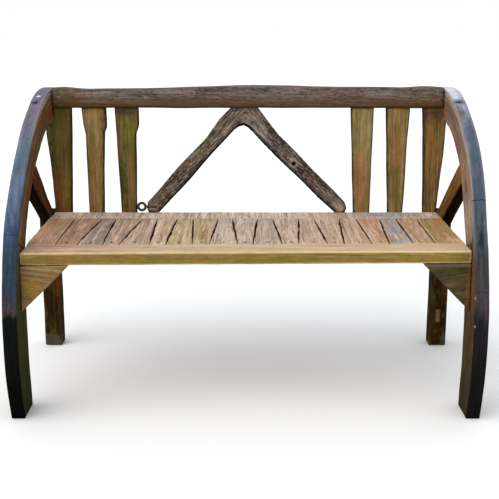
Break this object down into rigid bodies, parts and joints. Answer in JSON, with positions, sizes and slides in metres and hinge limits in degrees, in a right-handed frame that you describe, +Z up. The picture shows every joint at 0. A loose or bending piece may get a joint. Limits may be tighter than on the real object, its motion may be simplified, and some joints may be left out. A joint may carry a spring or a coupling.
{
  "type": "garden bench",
  "caption": "Bench of reused cart-wheel parts: curved rim side frames with iron tyres, a tapered-spoke seat and back, and a forked branch brace between them.",
  "frame": {"origin": "on the floor in the middle of the footprint", "axes": "+X across the bench to the viewer's right, +Y to the back, +Z up"},
  "size_m": [1.286, 0.678, 0.831],
  "materials": {
    "rim_wood": "weathered hardwood, oiled dark by age",
    "tyre_iron": "worn wrought-iron band, blue-grey with rust and dark pits",
    "forged_iron": "dark rusted forged iron",
    "spoke_wood": "weathered hardwood, dark brown",
    "leg_wood": "nearly black weathered post with green algae",
    "gusset_wood": "weathered golden-brown board",
    "front_rail_wood": "golden-brown rail with a pale worn top edge",
    "seat_slat_wood": "weathered pinkish grey-tan, worn smooth",
    "seat_frame_wood": "weathered tan with grey patches",
    "hidden_wood": "plain sawn wood, little weathered",
    "back_slat_wood": "weathered olive brown with moss and orange streaks",
    "top_rail_wood": "weathered grey-brown pole, darker below",
    "crook_wood": "charcoal grey-brown natural branch, barked and worn"
  },
  "bodies": {
    "root": {"back_apron": "hidden_wood", "back_bearer": "hidden_wood", "back_slat_1": "back_slat_wood", "back_slat_2": "back_slat_wood", "back_slat_3": "back_slat_wood", "back_slat_4": "back_slat_wood", "back_slat_5": "back_slat_wood", "back_slat_6": "back_slat_wood", "back_slat_nails": "forged_iron", "crook_brace": "crook_wood", "crook_eye": "forged_iron", "front_bearer": "hidden_wood", "left_back_leg": "leg_wood", "left_felloe_dowel": "hidden_wood", "left_frame_screws": "forged_iron", "left_gusset": "gusset_wood", "left_lower_felloe": "rim_wood", "left_spoke_brace": "spoke_wood", "left_tyre": "tyre_iron", "left_tyre_bolts": "forged_iron", "left_upper_felloe": "rim_wood", "right_back_leg": "leg_wood", "right_felloe_dowel": "hidden_wood", "right_frame_screws": "forged_iron", "right_gusset": "gusset_wood", "right_lower_felloe": "rim_wood", "right_spoke_brace": "spoke_wood", "right_tyre": "tyre_iron", "right_tyre_bolts": "forged_iron", "right_upper_felloe": "rim_wood", "seat_back_rail": "seat_frame_wood", "seat_front_rail": "front_rail_wood", "seat_left_end_board": "seat_frame_wood", "seat_nails": "forged_iron", "seat_right_end_board": "seat_frame_wood", "seat_slat_01": "seat_slat_wood", "seat_slat_02": "seat_slat_wood", "seat_slat_03": "seat_slat_wood", "seat_slat_04": "seat_slat_wood", "seat_slat_05": "seat_slat_wood", "seat_slat_06": "seat_slat_wood", "seat_slat_07": "seat_slat_wood", "seat_slat_08": "seat_slat_wood", "seat_slat_09": "seat_slat_wood", "seat_slat_10": "seat_slat_wood", "seat_slat_11": "seat_slat_wood", "seat_slat_12": "seat_slat_wood", "seat_slat_13": "seat_slat_wood", "seat_slat_14": "seat_slat_wood", "seat_slat_15": "seat_slat_wood", "seat_slat_16": "seat_slat_wood", "seat_slat_17": "seat_slat_wood", "top_rail": "top_rail_wood"}
  },
  "joints": []
}
